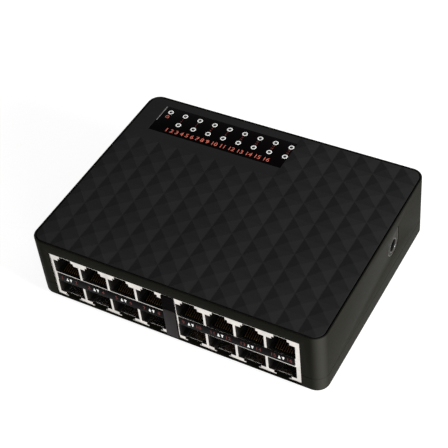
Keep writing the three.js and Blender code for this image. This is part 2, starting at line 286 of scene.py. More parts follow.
def block(name, x, y, z):
    verts = [(px, py, pz) for pz in z for py in y for px in x]
    faces = [(0, 2, 3, 1), (4, 5, 7, 6), (0, 1, 5, 4), (2, 6, 7, 3), (0, 4, 6, 2), (1, 3, 7, 5)]
    return new_object(name, verts, faces)


def span(centre, width):
    return (centre - width / 2, centre + width / 2)


def prism(name, outline, axis, start, end):
    """A closed outline run along one axis. The outline gives the other two coordinates in X, Y, Z order."""
    index = "xyz".index(axis)
    return loft(name, [[(*p[:index], t, *p[index:]) for p in outline] for t in (start, end)])


def lathe(name, profile, centre, axis="z", steps=32, capped=True):
    """Turns (radius, height) pairs about an axis through the centre. An uncapped form is a closed ring."""
    loops = []
    for radius, height in profile:
        loop = []
        for a in full_turn(steps):
            u, v = max(radius, 0.001) * cos(a), max(radius, 0.001) * sin(a)
            offset = {"z": (u, v, height), "x": (height, u, v)}[axis]
            loop.append(tuple(c + o for c, o in zip(centre, offset)))
        loops.append(loop)
    return loft(name, loops, capped)


def rod(name, radius, x, y, z0, z1, steps=32):
    return lathe(name, [(radius, z0), (radius, z1)], (x, y, 0), steps=steps)


def ribbon(name, path, width, thickness, x=0.0):
    """A flat strip of constant section along a path in the YZ plane."""
    loops = []
    for i, (y, z) in enumerate(path):
        before, after = path[max(i - 1, 0)], path[min(i + 1, len(path) - 1)]
        dy, dz = after[0] - before[0], after[1] - before[1]
        length = hypot(dy, dz)
        ny, nz = -dz / length * thickness / 2, dy / length * thickness / 2
        half = width / 2
        corners = ((-half, -1), (half, -1), (half, 1), (-half, 1))
        loops.append([(x + dx, y + side * ny, z + side * nz) for dx, side in corners])
    return loft(name, loops)


def row_side(number):
    """Up for the ports of the upper row, and down for those of the lower row."""
    return 1 if number % 2 else -1


def port_outline(number, margin):
    """A port's stepped opening in X and Z, widened by a margin on both sides."""
    x, side = PORT_X[number], row_side(number)
    edge = MID_LEVEL + side * MID_HALF
    half = PORT_HALF_WIDTH + margin
    right = [(half, 0), (half, PORT_SHOULDER), (PORT_STEP_HALF, PORT_SHOULDER), (PORT_STEP_HALF, PORT_STEP)]
    right += [(PORT_NOTCH_HALF, PORT_STEP), (PORT_NOTCH_HALF, PORT_NOTCH)]
    outline = [(x + dx, edge + side * rise) for dx, rise in right]
    return outline + [(x - dx, edge + side * rise) for dx, rise in reversed(right)]


CAPITAL_TO_SIZE = 1.4
INK_THICKNESS = 0.03


def lettering(name, text, height, x, y, z, facing):
    """Flat printed characters, a hair thick. facing is "up" or "front"."""
    curve = bpy.data.curves.new(name, "FONT")
    curve.body = text
    curve.size = height * MM * CAPITAL_TO_SIZE
    curve.extrude = INK_THICKNESS * MM
    curve.align_x = "CENTER"
    curve.align_y = "CENTER"
    curve.resolution_u = 3
    obj = link(name, curve)
    mesh = evaluated_mesh(obj)
    drop(obj)
    turn = Matrix.Rotation(pi / 2, 4, "X") if facing == "front" else Matrix.Identity(4)
    mesh.transform(Matrix.Translation(Vector((x, y, z)) * MM) @ turn)
    return link(name, mesh)


# ---------- materials ----------

# The dark finishes are tuned to the photo under this scene's bright floor and lights. Their colours and
# specular levels are lower than those of the real plastics, and the gold is darker than real gold: painted
# shade for the springs deep in the ports and the inlet.


def set_inputs(node, values):
    for socket, value in values.items():
        node.inputs[socket].default_value = value


def noise(mat, coords, size, detail):
    """Noise in the piece's own coordinates, with a feature size in millimetres."""
    texture = mat.node_tree.nodes.new("ShaderNodeTexNoise")
    set_inputs(texture, {"Scale": 1 / (size * MM), "Detail": detail})
    mat.node_tree.links.new(coords.outputs["Object"], texture.inputs["Vector"])
    return texture.outputs["Fac"]


def material(name, color, roughness, metallic=0.0, specular=0.5, variation=0.1, grain=0.0, grain_size=0.3,
             blotch=6.0, rough_variation=0.08):
    """A procedural finish: cloudy colour and gloss, and a fine moulded or rolled grain as bump.
    Sizes are in millimetres."""
    mat = bpy.data.materials.new(name)
    mat.use_nodes = True
    nodes, links = mat.node_tree.nodes, mat.node_tree.links
    shader = nodes["Principled BSDF"]
    set_inputs(shader, {"Metallic": metallic, "Specular IOR Level": specular})
    coords = nodes.new("ShaderNodeTexCoord")
    ramp = nodes.new("ShaderNodeValToRGB")
    for stop, position, factor in ((0, 0.3, 1 - variation), (1, 0.7, 1 + variation)):
        ramp.color_ramp.elements[stop].position = position
        ramp.color_ramp.elements[stop].color = (*(min(c * factor, 1) for c in color), 1)
    links.new(noise(mat, coords, blotch, 4), ramp.inputs["Fac"])
    links.new(ramp.outputs["Color"], shader.inputs["Base Color"])
    spread = nodes.new("ShaderNodeMapRange")
    set_inputs(spread, {"To Min": max(roughness - rough_variation, 0.02),
                        "To Max": min(roughness + rough_variation, 1)})
    links.new(noise(mat, coords, grain_size * 4, 3), spread.inputs["Value"])
    links.new(spread.outputs["Result"], shader.inputs["Roughness"])
    if grain:
        bump = nodes.new("ShaderNodeBump")
        set_inputs(bump, {"Strength": grain, "Distance": 0.05 * MM})
        links.new(noise(mat, coords, grain_size, 2), bump.inputs["Height"])
        links.new(bump.outputs["Normal"], shader.inputs["Normal"])
    return mat


def tint(mat, factor, color):
    """Mixes a colour over the cloudy base colour, by a factor that varies over the surface."""
    nodes, links = mat.node_tree.nodes, mat.node_tree.links
    ramp = next(n for n in nodes if n.type == "VALTORGB")
    mix = nodes.new("ShaderNodeMix")
    mix.data_type = "RGBA"
    mix.inputs["B"].default_value = (*color, 1)
    links.new(ramp.outputs["Color"], mix.inputs["A"])
    links.new(factor, mix.inputs["Factor"])
    links.new(mix.outputs["Result"], nodes["Principled BSDF"].inputs["Base Color"])


def clear_material(name, color, roughness):
    mat = material(name, color, roughness, variation=0.04, rough_variation=0.03)
    shader = mat.node_tree.nodes["Principled BSDF"]
    set_inputs(shader, {"Transmission Weight": 0.9, "IOR": 1.49})
    return mat


def board_material(name):
    """Green solder mask with faint routed tracks under it."""
    mat = material(name, (0.012, 0.09, 0.03), 0.35, specular=0.45, variation=0.2, blotch=9, grain=0.1)
    nodes, links = mat.node_tree.nodes, mat.node_tree.links
    coords = next(n for n in nodes if n.type == "TEX_COORD")
    tracks = nodes.new("ShaderNodeTexBrick")
    set_inputs(tracks, {"Scale": 1 / (9 * MM), "Mortar Size": 0.035, "Brick Width": 0.9,
                        "Row Height": 0.14})
    links.new(coords.outputs["Object"], tracks.inputs["Vector"])
    tint(mat, tracks.outputs["Fac"], (0.03, 0.2, 0.07))
    return mat


def lighten_corners(mat, color):
    """Paints a highlight on the four upright corners of the case, as a lighter colour, to match the lighter
    front right corner in the photo. There it is most likely a reflection, which the lights of this scene
    don't give."""
    nodes, links = mat.node_tree.nodes, mat.node_tree.links
    coords = next(n for n in nodes if n.type == "TEX_COORD")
    axes = nodes.new("ShaderNodeSeparateXYZ")
    links.new(coords.outputs["Object"], axes.inputs["Vector"])
    both = nodes.new("ShaderNodeMath")
    both.operation = "MULTIPLY"
    for i, edge in enumerate((RIGHT, BACK)):
        distance = nodes.new("ShaderNodeMath")
        distance.operation = "ABSOLUTE"
        links.new(axes.outputs[i], distance.inputs[0])
        fade = nodes.new("ShaderNodeMapRange")
        fade.interpolation_type = "SMOOTHSTEP"
        set_inputs(fade, {"From Min": (edge - CORNER) * MM, "From Max": (edge - 1.5) * MM})
        links.new(distance.outputs["Value"], fade.inputs["Value"])
        links.new(fade.outputs["Result"], both.inputs[i])
    tint(mat, both.outputs["Value"], color)


CASE_PLASTIC = material("case_plastic", (0.0054, 0.0053, 0.0037), 0.55, specular=0.025,
                        grain=0.5, grain_size=0.22, blotch=25)
# Painted highlight: the case's upright corners get a lighter colour.
lighten_corners(CASE_PLASTIC, (0.0185, 0.0182, 0.0155))
CASE_PLASTIC.node_tree.nodes["Principled BSDF"].inputs["Specular Tint"].default_value = (1, 0.97, 0.84, 1)
COVER_PLASTIC = material("cover_plastic", (0.0122, 0.0122, 0.0122), 0.55, specular=0.025, variation=0.08,
                         grain=0.35, grain_size=0.2, blotch=30)
LABEL_FILM = material("label_film", (0.0011, 0.0006, 0.0007), 0.26, specular=0.02, variation=0.2,
                      rough_variation=0.03, blotch=20)
# A pale grey for the label's left edge: a painted highlight where light catches that edge.
LABEL_EDGE_HIGHLIGHT = material("label_edge_highlight", (0.16, 0.155, 0.15), 0.4, specular=0.3, variation=0.4, blotch=3)
WHITE_INK = material("white_ink", (0.74, 0.74, 0.72), 0.5, variation=0.04, grain=0.2)
RED_INK = material("red_ink", (0.5, 0.12, 0.085), 0.5, specular=0.1, variation=0.12, grain=0.2)
DIM_RED_INK = material("dim_red_ink", (0.11, 0.03, 0.026), 0.5, specular=0.05, variation=0.35,
                       blotch=2, grain=0.2)
LENS_SMOKE = material("lens_smoke", (0.012, 0.012, 0.012), 0.12)
TIN_PLATE = material("tin_plate", (0.68, 0.65, 0.61), 0.26, metallic=1.0, variation=0.12, grain=0.15,
                     grain_size=0.5, blotch=3, rough_variation=0.1)
JACK_PLASTIC = material("jack_plastic", (0.005, 0.0045, 0.0042), 0.5, specular=0.1, variation=0.15,
                        grain=0.3)
# Darkened gold: painted shade for the springs deep in the ports and the inlet.
SHADED_GOLD = material("gold_flash", (0.14, 0.085, 0.045), 0.45, metallic=1.0, variation=0.08)
DIVIDER_PLASTIC = material("divider_plastic", (0.012, 0.0092, 0.0096), 0.45, specular=0.06,
                           variation=0.08, grain=0.3)
# The divider's blade: near black, painted shade between the port blocks.
DIVIDER_SHADOW = material("divider_blade_painted_shade", (0.0025, 0.002, 0.002), 0.7, specular=0.01)
STRIP_FILM = material("strip_film", (0.0022, 0.0016, 0.0017), 0.35, specular=0.02, variation=0.2, blotch=8)
BOARD_MASK = board_material("board_mask")
CHIP_EPOXY = material("chip_epoxy", (0.009, 0.009, 0.0095), 0.5, specular=0.4, variation=0.12, grain=0.35)
NICKEL = material("nickel", (0.62, 0.63, 0.64), 0.2, metallic=1.0, variation=0.06, grain=0.05)
SOLDER = material("solder", (0.66, 0.67, 0.68), 0.28, metallic=1.0, blotch=2)
SLEEVE = material("capacitor_sleeve", (0.012, 0.02, 0.06), 0.28)
ALUMINIUM = material("aluminium", (0.72, 0.73, 0.74), 0.3, metallic=1.0, variation=0.05, grain=0.1)
FERRITE = material("ferrite", (0.02, 0.02, 0.021), 0.75, variation=0.2, grain=0.6, grain_size=0.15)
ZINC = material("zinc_plate", (0.42, 0.43, 0.45), 0.3, metallic=1.0, variation=0.12, blotch=2, grain=0.1)
RUBBER = material("foot_rubber", (0.012, 0.012, 0.012), 0.85, specular=0.25, variation=0.15, grain=0.7)
INLET_PLASTIC = material("inlet_plastic", (0.011, 0.0105, 0.009), 0.5, specular=0.04,
                         grain=0.3)
# The inlet's rim and collar are real edges; their lighter colour is a painted highlight on them.
INLET_RIM_HIGHLIGHT = material("inlet_rim_highlight", (0.03, 0.029, 0.026), 0.35, specular=0.35)
# The bore's liner: near black, partly the plastic's own black and partly painted shade in the hole.
INLET_BORE_SHADE = material("inlet_bore", (0.004, 0.004, 0.004), 0.6, specular=0.02)
CLEAR = clear_material("clear_guide", (0.9, 0.93, 0.95), 0.12)
LAMP_RESIN = material("lamp_resin", (0.5, 0.52, 0.45), 0.3, variation=0.05)
CERAMIC = material("chip_ceramic", (0.3, 0.22, 0.14), 0.55, variation=0.2, blotch=1)
FLOOR_PAINT = material("floor_paint", (0.3, 0.3, 0.3), 0.8, specular=0.05, variation=0.01, blotch=200)
FLOOR_SHADER = FLOOR_PAINT.node_tree.nodes["Principled BSDF"]
set_inputs(FLOOR_SHADER, {"Emission Color": (1, 1, 1, 1), "Emission Strength": 0.84})


# ---------- case ----------


# The tray laps into the wall frame with a lip. Its floor has screw bores, keyholes and vent slots.
FLOOR_INSET = 14
LIP_INSET = WALL - 0.9
KEYHOLE = {"x": 40, "head_y": 6, "head": 4, "end_y": 13, "slot": 2}
VENTS = {"count": 13, "pitch": 4, "half_width": 0.9, "front": 24.9, "back": 39.1}


def build_base_tray():
    profile = [(FLOOR_INSET, BASE)] + quarter_bottom(1.3)
    profile += [(0, RIM), (0.08, RIM + 0.1), (LIP_INSET, RIM + 0.1), (LIP_INSET, RIM + 1.35)]
    profile += [(LIP_INSET + 0.15, RIM + 1.5), (WALL, RIM + 1.5), (WALL, FLOOR_TOP + 0.6)]
    profile += [(WALL + 0.2, FLOOR_TOP + 0.2), (WALL + 0.6, FLOOR_TOP), (FLOOR_INSET, FLOOR_TOP)]
    tray = case_solid("base_tray_moulding", profile)
    for screw in SCREWS.values():
        fuse(tray, rod("boss", 4.3, *screw["axis"], FLOOR_TOP - 1, BOARD_LOW[2] - 0.2))
    cut(tray, block("gap", PORT_GAP, (FRONT - 1, FRONT + WALL + 0.1), (BASE + 1.0, RIM + 5)))
    for screw in SCREWS.values():
        cut(tray, rod("bore", 1.8, *screw["axis"], BASE - 1, BOARD_LOW[2]))
        cut(tray, rod("head_bore", 3.2, *screw["axis"], BASE - 1, BASE + 3))
    through = (BASE - 1, FLOOR_TOP + 1)
    for x in (-KEYHOLE["x"], KEYHOLE["x"]):
        cut(tray, rod("keyhole_head", KEYHOLE["head"], x, KEYHOLE["head_y"], *through))
        slot = arc(x, KEYHOLE["end_y"], KEYHOLE["slot"], half_turn(0))
        slot += [(x - KEYHOLE["slot"], KEYHOLE["head_y"] + 1), (x + KEYHOLE["slot"], KEYHOLE["head_y"] + 1)]
        cut(tray, prism("keyhole_slot", slot, "z", *through))
    for i in range(VENTS["count"]):
        x = (i - (VENTS["count"] - 1) / 2) * VENTS["pitch"]
        outline = arc(x, VENTS["back"], VENTS["half_width"], half_turn(0))
        outline += arc(x, VENTS["front"], VENTS["half_width"], half_turn(pi))
        cut(tray, prism("vent", outline, "z", *through))
    bevel(tray, 0.14, angle=50)
    place(tray, CASE_PLASTIC, ["base_tray"])


def quarter_bottom(radius):
    """The rounded lower edge of the case, as (inset, height) pairs from the underside to the wall."""
    return [(radius - radius * sin(a), BASE + radius - radius * cos(a))
            for a in (pi / 2 * i / 6 for i in range(7))]


def inlet_outline(top, margin):
    """The power inlet's face in Y and Z: flat at the top and round at the bottom."""
    y = (JACK_LOW[1] + JACK_HIGH[1]) / 2
    radius = (JACK_HIGH[1] - JACK_LOW[1]) / 2 + margin
    z = JACK_LOW[2] + radius - margin
    return [(y + radius, top), (y - radius, top)] + arc(y, z, radius, half_turn(pi, 24))


def build_wall_frame():
    """The ring of walls: a ledge for the lid at the top, and a lap over the tray's lip at the bottom."""
    bottom, top = WALL_LOW[2], WALL_HIGH[2]
    ledge, rim = BASE + 31.3, 0.7
    lap = LIP_INSET - 0.3
    lap_top = RIM + 1.8
    profile = [(0.08, bottom), (0, bottom + 0.1), (0, top - 0.25), (0.08, top - 0.08), (0.25, top)]
    profile += [(rim, top), (rim, ledge), (WALL, ledge), (WALL, lap_top), (lap, lap_top), (lap, bottom)]
    walls = case_solid("wall_frame_moulding", profile, capped=False)
    gap_top = BANKS["left"]["high"][2] + 0.4
    cut(walls, block("gap", PORT_GAP, (FRONT - 1, FRONT + WALL + 1), (bottom - 1, gap_top)))
    inlet = inlet_outline(JACK_HIGH[2] + 0.6, 0.3)
    cut(walls, prism("inlet", inlet, "x", RIGHT - WALL - 1, RIGHT + 1))
    bevel(walls, 0.16, angle=50)
    place(walls, CASE_PLASTIC, ["wall_frame"])


# The lid's grid of pyramids, the plain cells at its left and back, its gap to the walls, and the heights
# of the valleys between the pyramids and of its underside.
RELIEF_COLUMNS = 14
RELIEF_ROWS = 11
CELL_X, CELL_Y = 9.77, 9.51
RELIEF_LEFT = -0.35 - RELIEF_COLUMNS * CELL_X / 2
RELIEF_FRONT = -0.4 - RELIEF_ROWS * CELL_Y / 2
PLAIN_COLUMNS = 8
PLAIN_ROWS = 3
COVER_INSET = RIGHT - COVER_HIGH[0]
VALLEY = WALL_HIGH[2]
UNDERSIDE = VALLEY - 1.5


def relief_slab():
    """A slab over the whole plan whose top carries a grid of low four-sided pyramids."""
    verts, faces = [], []
    columns = RELIEF_COLUMNS + 1
    for row in range(RELIEF_ROWS + 1):
        for column in range(columns):
            verts.append((RELIEF_LEFT + column * CELL_X, RELIEF_FRONT + row * CELL_Y, VALLEY))
    for row in range(RELIEF_ROWS):
        for column in range(RELIEF_COLUMNS):
            a = row * columns + column
            ring = [a, a + 1, a + 1 + columns, a + columns]
            if column < PLAIN_COLUMNS and row >= RELIEF_ROWS - PLAIN_ROWS:
                faces.append(tuple(ring))
                continue
            apex = len(verts)
            x, y = RELIEF_LEFT + (column + 0.5) * CELL_X, RELIEF_FRONT + (row + 0.5) * CELL_Y
            verts.append((x, y, COVER_HIGH[2]))
            faces += [(ring[i], ring[(i + 1) % 4], apex) for i in range(4)]
    rim = list(range(columns))
    rim += [r * columns + columns - 1 for r in range(1, RELIEF_ROWS + 1)]
    rim += [RELIEF_ROWS * columns + c for c in range(columns - 2, -1, -1)]
    rim += [r * columns for r in range(RELIEF_ROWS - 1, 0, -1)]
    low = {v: len(verts) + i for i, v in enumerate(rim)}
    verts += [(verts[v][0], verts[v][1], UNDERSIDE) for v in rim]
    for i, v in enumerate(rim):
        w = rim[(i + 1) % len(rim)]
        faces.append((v, low[v], low[w], w))
    faces.append(tuple(low[v] for v in reversed(rim)))
    return new_object("cover_moulding", verts, faces)


# The seventeen indicators, in two rows over the light guide: power first, and then one for each port.
GUIDE_EDGE = 1.6
RING_PITCH = (GUIDE_HIGH[0] - GUIDE_LOW[0] - 2 * GUIDE_EDGE) / 8
RING_UPPER_Y = GUIDE_HIGH[1] - GUIDE_EDGE
RING_LOWER_Y = GUIDE_LOW[1] + GUIDE_EDGE
RING_FIRST_X = GUIDE_LOW[0] + GUIDE_EDGE
RINGS = [(RING_FIRST_X + i * RING_PITCH, RING_UPPER_Y) for i in range(9)]
RINGS += [(RING_FIRST_X + i * RING_PITCH, RING_LOWER_Y) for i in range(1, 9)]


def build_cover():
    cover = relief_slab()
    outline = [(COVER_INSET, UNDERSIDE - 1), (COVER_INSET, COVER_HIGH[2] + 1)]
    boolean(cover, case_solid("trim", outline), "INTERSECT")
    plan = [(LABEL_LOW[i] - 0.2, LABEL_HIGH[i] + 0.2) for i in (0, 1)]
    cut(cover, block("recess", *plan, (VALLEY - 0.4, VALLEY + 2)))
    skirt = [(2.5, COVER_LOW[2]), (2.5, UNDERSIDE + 0.4), (3.7, UNDERSIDE + 0.4), (3.7, COVER_LOW[2])]
    fuse(cover, case_solid("skirt", skirt, capped=False))
    for screw in SCREWS.values():
        fuse(cover, rod("boss", 3.2, *screw["axis"], BOARD_HIGH[2] + 0.3, UNDERSIDE + 0.4))
        cut(cover, rod("bore", 1.75, *screw["axis"], BOARD_HIGH[2], screw["tip"] + 0.3))
    holes = joined("holes", [rod("hole", 0.9, x, y, UNDERSIDE - 1, VALLEY + 1, 20) for x, y in RINGS])
    cut(cover, holes)
    bevel(cover, 0.22, 3, angle=60)
    place(cover, COVER_PLASTIC, ["top_cover"], "cover", angle=5)


def build_label():
    top = LABEL_HIGH[2]
    film = block("label_film_sheet", *zip(LABEL_LOW, LABEL_HIGH))
    bevel(film, 0.06)
    place(film, LABEL_FILM, ["indicator_label"], "cover")
    rings = []
    lenses = []
    for x, y in RINGS:
        ring = [(0.8, top - 0.05), (0.8, top + 0.03), (0.86, top + 0.05), (1.24, top + 0.05)]
        ring += [(1.3, top + 0.03), (1.3, top - 0.05)]
        rings.append(lathe("ring", ring, (x, y, 0), capped=False))
        dome = [(0.7 * cos(t), top + 0.15 * sin(t)) for t in (0, 0.3, 0.6, 0.9, 1.2, 1.5)]
        lenses.append(lathe("lens", [(0.7, top - 0.05)] + dome, (x, y, 0), steps=20))
    place(joined("indicator_rings", rings), WHITE_INK, body="cover")
    place(joined("indicator_lenses", lenses), LENS_SMOKE, body="cover")
    print_label(top + INK_THICKNESS)
    # A pale grey strip along the label's left edge: a painted highlight where the light catches that edge.
    edge = block("label_edge_highlight", (LABEL_LOW[0] + 0.02, LABEL_LOW[0] + 0.42),
                 ((RING_UPPER_Y + RING_LOWER_Y) / 2 - 4, LABEL_HIGH[1] - 0.05), (top - 0.1, top + 0.06))
    bevel(edge, 0.05)
    place(edge, LABEL_EDGE_HIGHLIGHT, body="cover")


def print_label(level):
    """The label's red print: small numbers between the rings, the power sign and the row of numbers."""
    middle = (RING_UPPER_Y + RING_LOWER_Y) / 2
    height, offset = 0.95, 0.75
    marks = []
    for i in range(1, 9):
        x = RING_FIRST_X + i * RING_PITCH
        for number, y in ((2 * i - 1, middle + offset), (2 * i, middle - offset)):
            marks.append(lettering(f"digit_{number}", str(number), height, x, y, level, "up"))
    place(joined("indicator_digits", marks), DIM_RED_INK, body="cover")
    bright = [number_row(level)] + power_symbol(RING_FIRST_X, middle, level)
    place(joined("indicator_line", bright), RED_INK, body="cover")


def power_symbol(x, y, z):
    """A broken circle with a bar, the usual sign for power."""
    outer, inner = 0.95, 0.7
    angles = [radians(125 + 290 * i / 24) for i in range(25)]
    outline = arc(x, y, outer, angles) + arc(x, y, inner, reversed(angles))
    bar = block("bar", span(x, 0.26), (y + 0.15, y + 1.15), (z - 0.05, z + 0.03))
    return [prism("arc", outline, "z", z - 0.05, z + 0.03), bar]


def number_row(z):
    """The port numbers in one plain line under the lamps."""
    text = " ".join(str(n) for n in range(1, 17))
    row = lettering("number_row", text, 2.35, 0, 0, 0, "up")
    low = min(v.co.x for v in row.data.vertices)
    high = max(v.co.x for v in row.data.vertices)
    first, last = LABEL_LOW[0] + 8.2, LABEL_HIGH[0] - 6.5
    stretch = (last - first) * MM / (high - low)
    middle = Vector(((first + last) / 2, LABEL_LOW[1] + 2.35, z)) * MM
    shift = Matrix.Translation(middle) @ Matrix.Diagonal((stretch, 1, 1, 1))
    row.data.transform(shift @ Matrix.Translation((-(low + high) / 2, 0, 0)))
    return row


def build_light_guide():
    """A thin web with a post for every indicator."""
    web_top = GUIDE_LOW[2] + 0.7
    web = block("light_guide_moulding", *zip(GUIDE_LOW, (*GUIDE_HIGH[:2], web_top)))
    posts = joined("posts", [rod("post", 0.6, x, y, web_top - 0.2, GUIDE_HIGH[2], 16) for x, y in RINGS])
    fuse(web, posts)
    bevel(web, 0.08)
    place(web, CLEAR, ["light_guide"], "cover")


def build_feet():
    """Round rubber pads with a shallow groove in the sole."""
    for corner in CASE_CORNERS:
        low, high = node_box(f"rubber_foot_{corner}")
        x, y, _ = centre_of(low, high)
        radius = (high[0] - low[0]) / 2
        profile = [(0, low[2]), (radius - 1.9, low[2]), (radius - 1.7, low[2] + 0.15)]
        profile += [(radius - 1.4, low[2] + 0.15), (radius - 1.2, low[2])]
        profile += [(radius - 0.5, low[2]), (radius - 0.15, low[2] + 0.15)]
        profile += [(radius, low[2] + 0.5), (radius, high[2] - 0.1), (radius - 0.1, high[2]), (0, high[2])]
        foot = lathe(f"foot_pad_{corner}", profile, (x, y, 0), steps=48)
        place(foot, RUBBER, [f"rubber_foot_{corner}"])


def build_screws():
    """Pan-head screws with a cross recess and a coarse thread."""
    core, crest, thread_pitch = 1.1, 1.45, 0.9
    for corner, screw in SCREWS.items():
        x, y = screw["axis"]
        bottom, tip = screw["bottom"], screw["tip"]
        head_top = BASE + 2.7
        profile = [(0, bottom), (1.7, bottom + 0.05), (2.3, bottom + 0.3), (2.65, bottom + 0.8)]
        profile += [(2.7, bottom + 1.1), (2.7, head_top), (1.3, head_top)]
        z = head_top + 0.4
        while z < tip - 1.6:
            profile += [(core, z), (crest, z + 0.32), (crest, z + 0.4), (core, z + 0.72)]
            z += thread_pitch
        profile += [(core, tip - 1), (0.2, tip)]
        piece = lathe(f"screw_{corner}", profile, (x, y, 0), steps=28)
        recess = (bottom - 1, bottom + 1.1)
        cut(piece, block("arm_x", span(x, 3.0), span(y, 0.65), recess))
        cut(piece, block("arm_y", span(x, 0.65), span(y, 3.0), recess))
        place(piece, ZINC, [f"case_screw_{corner}"])


# ---------- port banks ----------


SHEET = 0.4
FLANGE_DEPTH = 3.2
TROUGH = {"start": 1.3, "length": 11.4, "width": 9.2, "depth": 1.45}


def build_shield(side):
    """The folded can round a jack block: a box with an open top, a taller face, a flange and port windows."""
    bank = BANKS[side]
    low, high = bank["low"], bank["high"]
    left = high[0] - BANK_WIDTH if side == "right" else low[0]
    outer = (left, left + BANK_WIDTH)
    can_bottom = BASE + 2.4
    top, back, face = high[2], high[1], SHIELD_FACE
    can = block(f"shield_{side}", outer, (face, back), (can_bottom, top))
    cut(can, block("inside", (outer[0] + SHEET, outer[1] - SHEET), (face + SHEET, back - SHEET),
                   (can_bottom + SHEET, top + 1)))
    fuse(can, block("face", outer, (face, face + SHEET), (low[2], top)))
    fuse(can, block("flange", outer, (face, face + FLANGE_DEPTH), (top - SHEET, top)))
    if side == "left":
        fuse(can, block("earth_tab", (outer[1] - 1, high[0]), (face, face + SHEET), (top - 0.7, top)))
    for n in bank["ports"]:
        cut(can, prism("window", port_outline(n, WINDOW_MARGIN), "y", face - 1, face + TROUGH["start"]))
    bevel(can, 0.09, 2, angle=50)
    place(can, TIN_PLATE, [f"jack_shield_{side}"])


def build_housing(side):
    """The insulator of a jack block, with a cavity for each plug and a trough for its contact springs."""
    low, high = node_box(f"jack_housing_{side}")
    body = block(f"housing_{side}", *zip(low, high))
    for n in BANKS[side]["ports"]:
        up = row_side(n)
        edge = MID_LEVEL + up * MID_HALF
        outline = port_outline(n, CAVITY_MARGIN)
        cut(body, prism("cavity", outline, "y", low[1] - 1, low[1] + CAVITY_DEPTH))
        level = sorted((edge - up * TROUGH["depth"], edge + up))
        start = SHIELD_FACE + TROUGH["start"]
        cut(body, block("trough", span(PORT_X[n], TROUGH["width"]), (start, start + TROUGH["length"]), level))
    bevel(body, 0.12, 2, angle=50)
    place(body, JACK_PLASTIC, [f"jack_housing_{side}"])
    build_contact_guides(side, low[1] + CAVITY_DEPTH)


def build_contact_guides(side, back):
    """Thin fins that keep the contact springs apart at their free ends."""
    fins = []
    for n in BANKS[side]["ports"]:
        edge = MID_LEVEL + row_side(n) * MID_HALF
        level = sorted((edge - row_side(n) * 0.2, edge + row_side(n) * 3.4))
        for i in range(9):
            x = PORT_X[n] + (i - 4) * CONTACT_PITCH
            fins.append(block("fin", span(x, 0.34), (back - 3.6, back + 0.2), level))
    guides = joined(f"contact_guides_{side}", fins)
    bevel(guides, 0.05, 1)
    place(guides, JACK_PLASTIC)


def build_contacts(number):
    """Eight gold springs: a hairpin bend near the mouth, a straight rise and a dipped tip."""
    low, high = CONTACTS[number]
    x0 = PORT_X[number]
    up = row_side(number) > 0
    root = low[2] + 0.25 if up else high[2] - 0.25
    rise = (high[2] - 0.25 if up else low[2] + 0.25) - root
    start, end = low[1] + 0.15, high[1] - 0.3
    run = end - start
    # Fractions of the run and of the rise, from the root to the free end.
    shape = [(0.06, 0.0), (0.02, 0.05), (0.03, 0.13), (0.08, 0.2)]
    shape += [(0.3, 0.42), (0.5, 0.62), (0.7, 0.81), (0.82, 0.92), (0.9, 0.985), (0.96, 1.0), (1.0, 0.97)]
    path = [(start + run * a, root + rise * b) for a, b in shape]
    wires = [ribbon("wire", path, 0.36, 0.26, x0 + (i - 3.5) * CONTACT_PITCH) for i in range(8)]
    springs = joined(f"contacts_{number:02d}", wires)
    bevel(springs, 0.06, 1)
    body = f"contacts_{number:02d}"
    place(springs, SHADED_GOLD, [f"port_contacts_{number:02d}"], body)
    carrier = block(f"contact_carrier_{number:02d}", span(x0, 7.9), (low[1] + 0.1, low[1] + 0.75),
                    span(root, 0.42))
    bevel(carrier, 0.08)
    place(carrier, JACK_PLASTIC, body=body)


def arrow(x, y, z, up):
    """A printed triangle with a blunt tip."""
    half, blunt = 0.62, 0.08
    rise = 0.875 if up else -0.875
    outline = [(x - half, z - rise), (x + half, z - rise), (x + blunt, z + rise), (x - blunt, z + rise)]
    return prism("arrow", outline, "y", y - 0.03, y + 0.05)


# The strips of port numbers. The right one is stuck on slightly out of level.
STRIP_HEIGHT = 4.65
STRIP_TILT = {"left": 0, "right": -0.5}
NUMBER_HEIGHT = 2.0
NUMBER_OFFSET = 3.6
ARROW_OFFSET = 0.9


def tilted(obj, centre, degrees):
    """Turns the mesh about an axis along Y through the centre."""
    shift = Matrix.Translation(Vector(centre) * MM)
    obj.data.transform(shift @ Matrix.Rotation(radians(degrees), 4, "Y") @ shift.inverted())
    return obj


def build_port_label(side):
    """A strip under the upper row: for each pair of ports, two numbers with two arrows between them."""
    low, high = node_box(f"port_label_{side}")
    tilt = STRIP_TILT[side]
    centre = centre_of(low, high)
    level = centre[2]
    film = block(f"port_strip_{side}", *zip(low[:2], high[:2]), span(level, STRIP_HEIGHT))
    bevel(film, 0.04)
    tilted(film, centre, tilt)
    place(film, STRIP_FILM, [f"port_label_{side}"])
    face = low[1]
    white, red = [], []
    for n in BANKS[side]["ports"][::2]:
        for number, up, sign in ((n, True, -1), (n + 1, False, 1)):
            white.append(arrow(PORT_X[n] + sign * ARROW_OFFSET, face, level, up))
            x = PORT_X[n] + sign * NUMBER_OFFSET
            label = f"port_number_{number}"
            red.append(lettering(label, str(number), NUMBER_HEIGHT, x, face, level, "front"))
    arrows = tilted(joined(f"port_arrows_{side}", white), centre, tilt)
    numbers = tilted(joined(f"port_numbers_{side}", red), centre, tilt)
    place(arrows, WHITE_INK)
    place(numbers, DIM_RED_INK)


